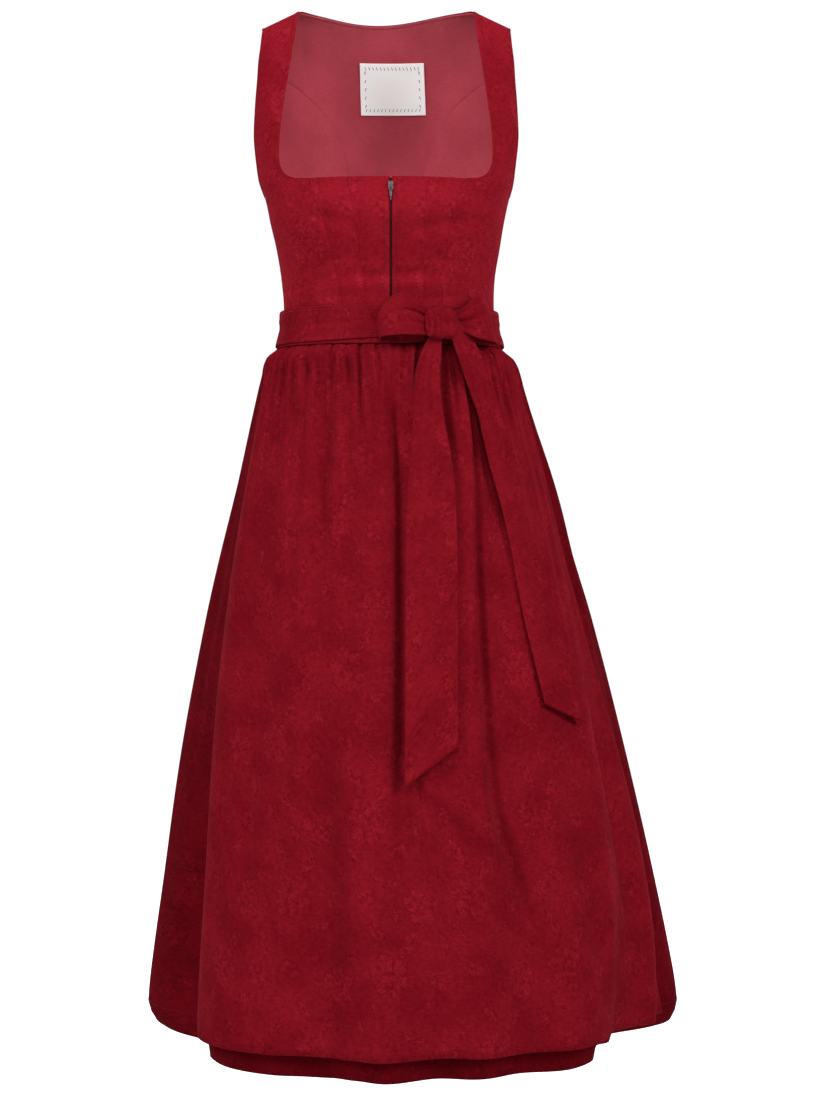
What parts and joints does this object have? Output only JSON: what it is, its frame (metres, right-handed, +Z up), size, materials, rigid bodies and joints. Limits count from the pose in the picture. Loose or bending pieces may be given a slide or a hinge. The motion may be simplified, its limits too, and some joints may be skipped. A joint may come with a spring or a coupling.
{
  "type": "dirndl with its tied apron",
  "caption": "Sleeveless midi dirndl filled out as worn: square neck, front zip, gathered skirt, and an apron whose ties end in a bow in front.",
  "frame": {"origin": "between the tops of the two straps, where the wearer's shoulders hold the dress up", "axes": "+Z up along the dress's length, the front faces -Y, +X to the right of someone who faces the front"},
  "size_m": [0.6289, 0.5987, 1.1747],
  "materials": {
    "bodice_cloth": "crimson flower jacquard, soft sheen",
    "skirt_cloth": "crimson flower jacquard, soft sheen",
    "apron_cloth": "crimson flower jacquard, soft sheen",
    "lining": "matte dusky red cotton lining",
    "label": "white woven satin",
    "zip_cloth": "dark red woven tape",
    "zip_metal": "bright nickel"
  },
  "bodies": {
    "garment": {"bodice_front_centre_left": "bodice_cloth", "bodice_front_centre_right": "bodice_cloth", "bodice_front_mid_left": "bodice_cloth", "bodice_front_mid_right": "bodice_cloth", "bodice_front_side_left": "bodice_cloth", "bodice_front_side_right": "bodice_cloth", "bodice_back_centre": "bodice_cloth", "bodice_back_side_left": "bodice_cloth", "bodice_back_side_right": "bodice_cloth", "skirt_front": "skirt_cloth", "skirt_back_left": "skirt_cloth", "skirt_back_right": "skirt_cloth", "lining_back_centre": "lining", "lining_back_side_left": "lining", "lining_back_side_right": "lining", "apron_panel": "apron_cloth", "apron_waistband": "apron_cloth", "apron_tie_left": "apron_cloth", "apron_tie_right": "apron_cloth", "bow_knot": "apron_cloth", "bow_loop_left": "apron_cloth", "bow_loop_right": "apron_cloth", "bow_tail_left": "apron_cloth", "bow_tail_right": "apron_cloth", "neck_label": "label", "zip_tape_left": "zip_cloth", "zip_tape_right": "zip_cloth", "zip_chain": "zip_cloth", "zip_slider": "zip_metal"},
    "pull": {"zip_pull": "zip_metal"}
  },
  "joints": [
    {"name": "zip_pull_hinge", "type": "hinge", "parent": "garment", "child": "pull", "pos_m": [0.002, -0.11967, -0.2166], "axis": [-1, 0, 0], "range_deg": [0, 155]}
  ]
}
